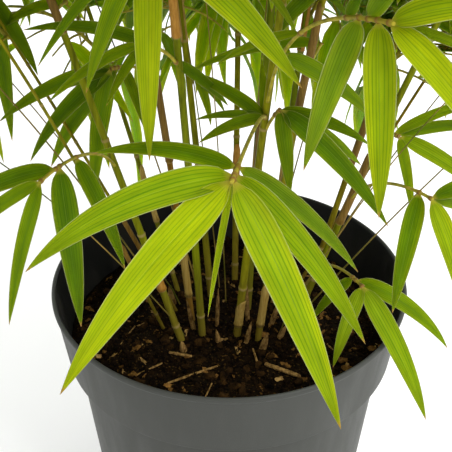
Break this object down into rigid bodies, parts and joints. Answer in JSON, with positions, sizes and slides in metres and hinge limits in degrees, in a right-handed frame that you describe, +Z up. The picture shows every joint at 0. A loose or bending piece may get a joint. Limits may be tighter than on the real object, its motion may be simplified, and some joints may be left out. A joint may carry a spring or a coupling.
{
  "type": "potted clumping bamboo",
  "caption": "Clumping bamboo in a round plastic pot: slender leaning culms rise from the potting soil and carry arching twigs with drooping lance-shaped leaves.",
  "frame": {"origin": "centre of the pot's flat underside", "axes": "+Z up, -Y to the front as the picture shows it, +X to the viewer's right"},
  "size_m": [0.7369, 0.6836, 0.8659],
  "materials": {
    "pot_plastic": "satin moulded dark grey plastic",
    "potting_soil": "moist dark potting soil with bark chips",
    "culm_green": "smooth olive green cane with papery sheaths",
    "leaf_green": "satin leaf, finely striped along its length"
  },
  "bodies": {
    "root": {"culm_back": "culm_green", "culm_back_left": "culm_green", "culm_back_right": "culm_green", "culm_brown": "culm_green", "culm_far_left": "culm_green", "culm_far_right": "culm_green", "culm_front": "culm_green", "culm_front_left": "culm_green", "culm_front_right": "culm_green", "culm_left": "culm_green", "culm_low_left": "culm_green", "culm_middle": "culm_green", "culm_right": "culm_green", "culm_thin_left": "culm_green", "culm_thin_right": "culm_green", "leaves_back_left": "leaf_green", "leaves_centre": "leaf_green", "leaves_left": "leaf_green", "leaves_left_middle": "leaf_green", "leaves_low_right": "leaf_green", "leaves_middle": "leaf_green", "leaves_pot_right": "leaf_green", "leaves_right": "leaf_green", "leaves_side_1": "leaf_green", "leaves_side_10": "leaf_green", "leaves_side_11": "leaf_green", "leaves_side_12": "leaf_green", "leaves_side_13": "leaf_green", "leaves_side_14": "leaf_green", "leaves_side_15": "leaf_green", "leaves_side_16": "leaf_green", "leaves_side_17": "leaf_green", "leaves_side_18": "leaf_green", "leaves_side_2": "leaf_green", "leaves_side_3": "leaf_green", "leaves_side_4": "leaf_green", "leaves_side_5": "leaf_green", "leaves_side_6": "leaf_green", "leaves_side_7": "leaf_green", "leaves_side_8": "leaf_green", "leaves_side_9": "leaf_green", "leaves_tip_back": "leaf_green", "leaves_tip_back_left": "leaf_green", "leaves_tip_back_right": "leaf_green", "leaves_tip_brown": "leaf_green", "leaves_tip_far_left": "leaf_green", "leaves_tip_far_right": "leaf_green", "leaves_tip_front": "leaf_green", "leaves_tip_front_left": "leaf_green", "leaves_tip_front_right": "leaf_green", "leaves_tip_left": "leaf_green", "leaves_tip_low_left": "leaf_green", "leaves_tip_middle": "leaf_green", "leaves_tip_right": "leaf_green", "leaves_tip_thin_left": "leaf_green", "leaves_tip_thin_right": "leaf_green", "leaves_top_left": "leaf_green", "leaves_top_right": "leaf_green", "pot": "pot_plastic", "soil": "potting_soil"}
  },
  "joints": []
}
